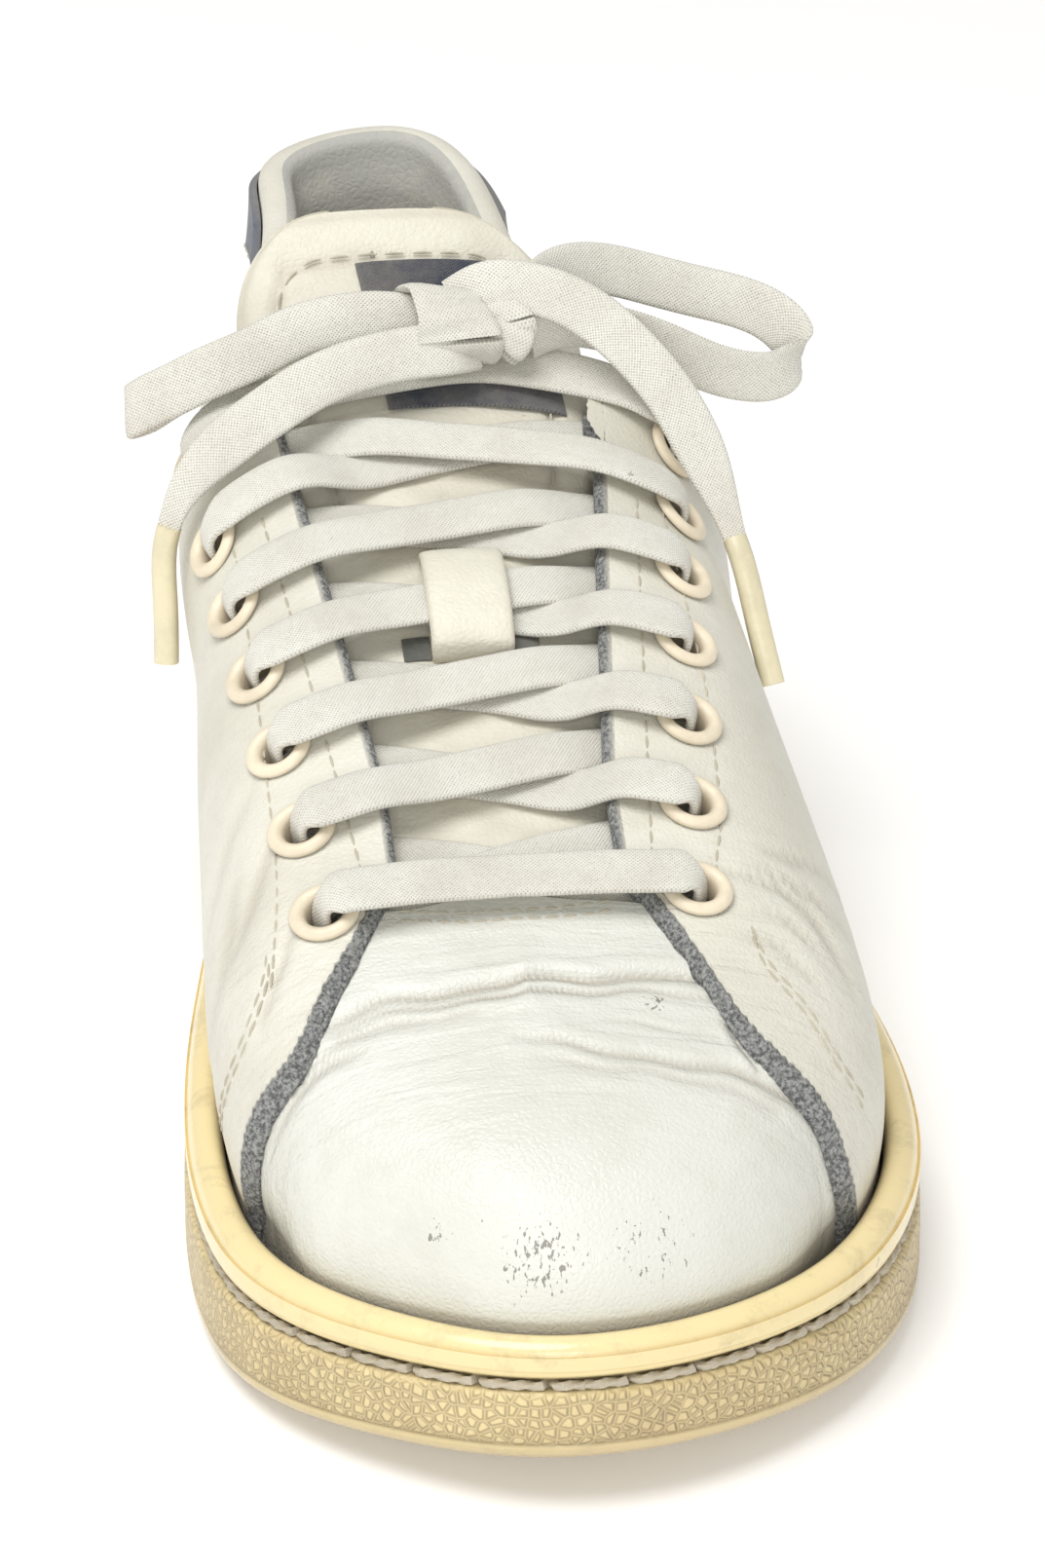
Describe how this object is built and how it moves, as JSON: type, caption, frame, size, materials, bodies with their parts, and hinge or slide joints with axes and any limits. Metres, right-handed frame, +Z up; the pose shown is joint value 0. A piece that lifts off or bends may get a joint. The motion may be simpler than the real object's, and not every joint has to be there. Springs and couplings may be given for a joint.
{
  "type": "sneaker",
  "caption": "Worn low-top leather tennis sneaker, left foot: hollow upper, padded collar, cup sole, tongue, eyelets and flat laces tied in a bow.",
  "frame": {"origin": "on the floor, under the middle of the heel of the sole", "axes": "+Z up, toe toward -Y, heel toward +Y, outer side of the foot toward +X"},
  "size_m": [0.1095, 0.298, 0.1132],
  "materials": {
    "sole_rubber": "yellowed, satin",
    "upper_leather": "off-white, creased, satin",
    "tongue_leather": "off-white, soft, satin",
    "insole_cloth": "worn, matt",
    "eyelet_plastic": "cream, satin",
    "lace_cotton": "flat woven cotton, slightly dirty",
    "heel_tab_leather": "navy, worn",
    "label_woven": "bare dark weave",
    "aglet_plastic": "clear, yellowed"
  },
  "bodies": {
    "root": {"outsole": "sole_rubber", "insole": "insole_cloth", "upper": "upper_leather", "tongue": "tongue_leather", "lace_keeper": "tongue_leather", "tongue_label": "label_woven", "heel_tab": "heel_tab_leather", "eyelet_inner_1": "eyelet_plastic", "eyelet_inner_2": "eyelet_plastic", "eyelet_inner_3": "eyelet_plastic", "eyelet_inner_4": "eyelet_plastic", "eyelet_inner_5": "eyelet_plastic", "eyelet_inner_6": "eyelet_plastic", "eyelet_inner_7": "eyelet_plastic", "eyelet_outer_1": "eyelet_plastic", "eyelet_outer_2": "eyelet_plastic", "eyelet_outer_3": "eyelet_plastic", "eyelet_outer_4": "eyelet_plastic", "eyelet_outer_5": "eyelet_plastic", "eyelet_outer_6": "eyelet_plastic", "eyelet_outer_7": "eyelet_plastic", "lace_bar": "lace_cotton", "lace_cross_2": "lace_cotton", "lace_cross_3": "lace_cotton", "lace_cross_4": "lace_cotton", "lace_cross_5": "lace_cotton", "lace_cross_6": "lace_cotton", "lace_riser": "lace_cotton", "lace_knot": "lace_cotton", "lace_loop_left": "lace_cotton", "lace_loop_right": "lace_cotton", "lace_end_left": "lace_cotton", "lace_end_right": "lace_cotton", "aglet_left": "aglet_plastic", "aglet_right": "aglet_plastic"}
  },
  "joints": []
}
